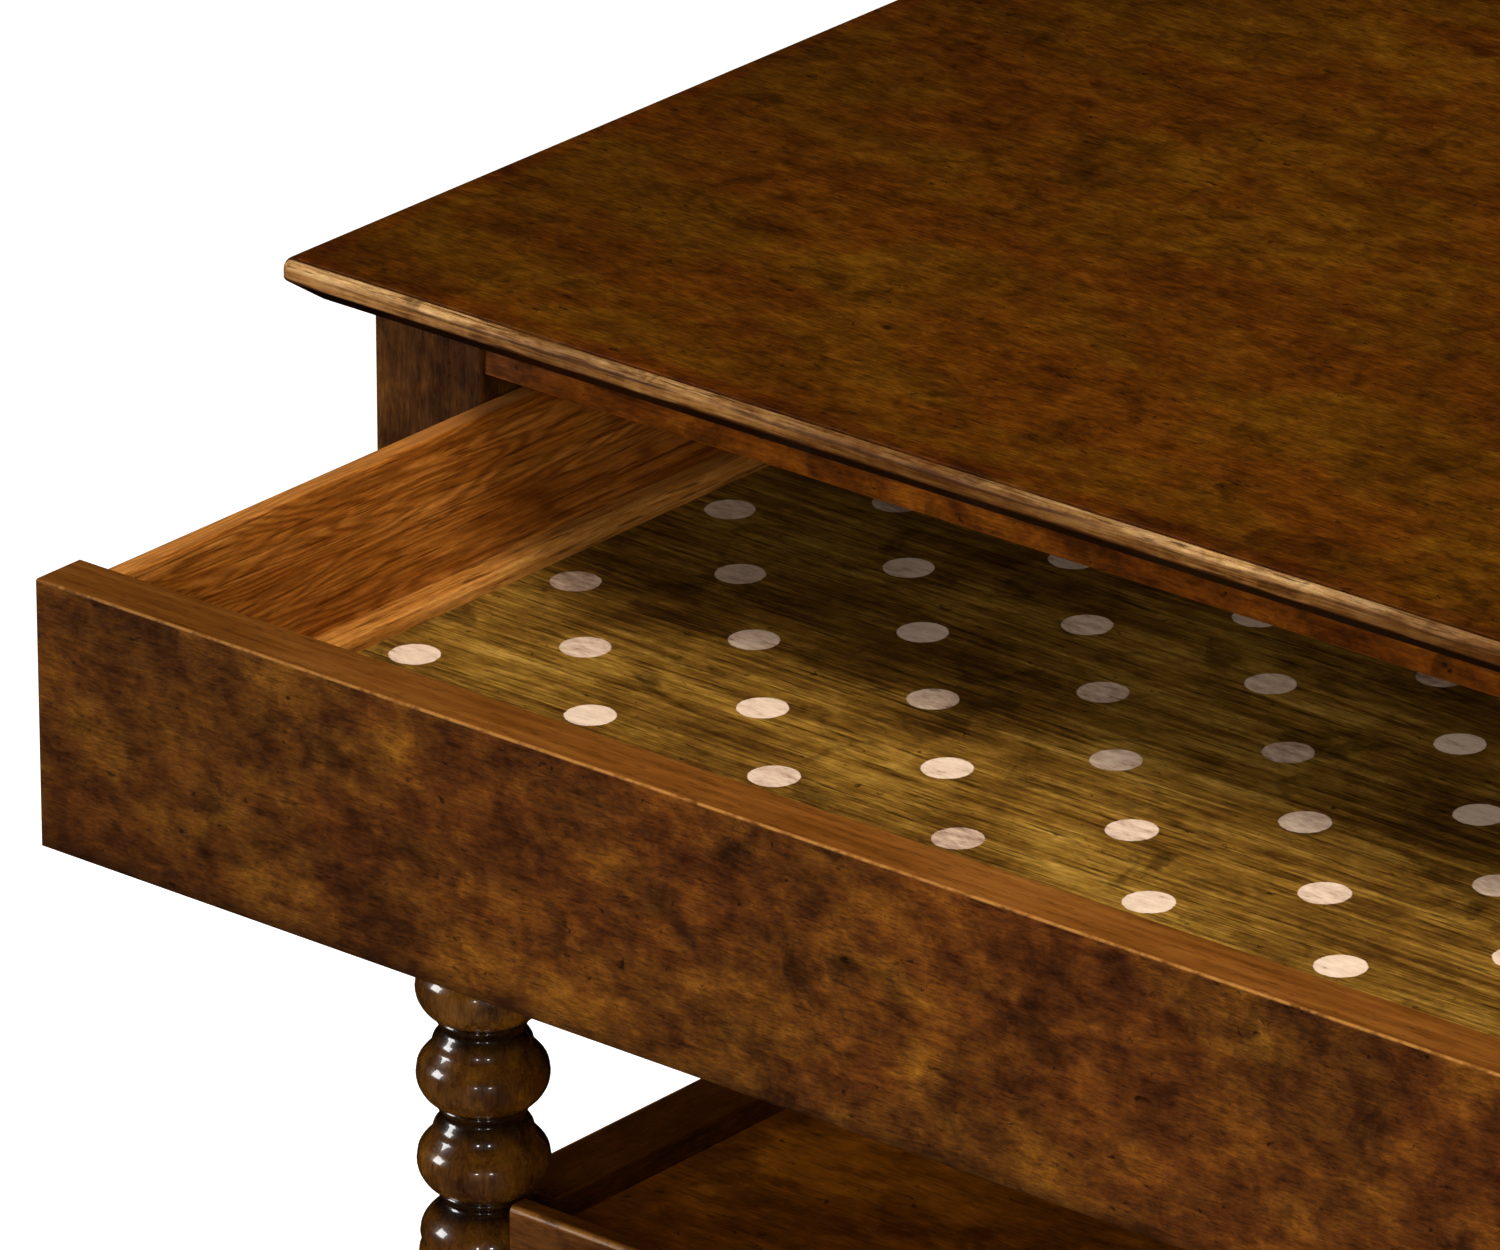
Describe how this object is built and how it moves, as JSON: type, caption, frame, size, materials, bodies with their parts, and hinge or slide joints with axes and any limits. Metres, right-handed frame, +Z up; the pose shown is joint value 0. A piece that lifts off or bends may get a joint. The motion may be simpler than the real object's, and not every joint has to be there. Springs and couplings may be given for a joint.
{
  "type": "games table with drawer",
  "caption": "Square-edged wooden games table on bobbin-turned legs, with a full-width pull-out drawer that has a dotted bottom and a low shelf tray between the legs.",
  "frame": {"origin": "on the floor, under the centre of the table top", "axes": "+X along the drawer front to the right, +Y from the drawer front to the back, +Z up; the drawer opens along -Y"},
  "size_m": [1.067, 1.0005, 0.762],
  "materials": {
    "mottled_walnut": "stained and lacquered walnut veneer, mottled figure, satin",
    "worn_edge": "the same stain rubbed through to lighter wood along the edge, satin",
    "turned_walnut": "stained turned hardwood, glossy lacquer",
    "drawer_oak": "oiled oak, orange brown, satin",
    "slip_oak": "oiled oak, a little lighter, satin",
    "secondary_oak": "plain oak, unfinished",
    "dotted_bottom": "olive-brown stained panel with cream painted dots, matt",
    "steel": "zinc-plated wood screws",
    "glide": "moulded nylon, brown"
  },
  "bodies": {
    "table": {"apron_back": "mottled_walnut", "apron_left": "mottled_walnut", "apron_right": "mottled_walnut", "closing_stops": "secondary_oak", "drawer_guide_left": "secondary_oak", "drawer_guide_right": "secondary_oak", "foot_glides": "glide", "kicker_left": "secondary_oak", "kicker_right": "secondary_oak", "leg_back_left": "turned_walnut", "leg_back_right": "turned_walnut", "leg_front_left": "turned_walnut", "leg_front_right": "turned_walnut", "pull_out_stops": "secondary_oak", "rail_front_lower": "mottled_walnut", "rail_front_upper": "mottled_walnut", "runner_left": "secondary_oak", "runner_right": "secondary_oak", "runner_screws": "steel", "shelf_cleat_left": "secondary_oak", "shelf_cleat_right": "secondary_oak", "shelf_panel": "mottled_walnut", "shelf_rail_back": "mottled_walnut", "shelf_rail_front": "mottled_walnut", "shelf_rail_left": "mottled_walnut", "shelf_rail_right": "mottled_walnut", "shelf_screws": "steel", "shelf_stiffener": "secondary_oak", "stop_screws": "steel", "top_button_screws": "steel", "top_buttons": "secondary_oak", "top_cross_bearer": "secondary_oak", "top_edge_back": "worn_edge", "top_edge_front": "worn_edge", "top_edge_left": "worn_edge", "top_edge_right": "worn_edge", "top_fixing_screws": "steel", "top_panel": "mottled_walnut"},
    "drawer": {"drawer_back": "drawer_oak", "drawer_bottom": "dotted_bottom", "drawer_bottom_screws": "steel", "drawer_front": "mottled_walnut", "drawer_side_left": "drawer_oak", "drawer_side_right": "drawer_oak", "drawer_slip_left": "slip_oak", "drawer_slip_right": "slip_oak"}
  },
  "joints": [
    {"name": "drawer_slide", "type": "slide", "parent": "table", "child": "drawer", "axis": [0, -1, 0], "range_m": [-0.268, 0.15]}
  ]
}
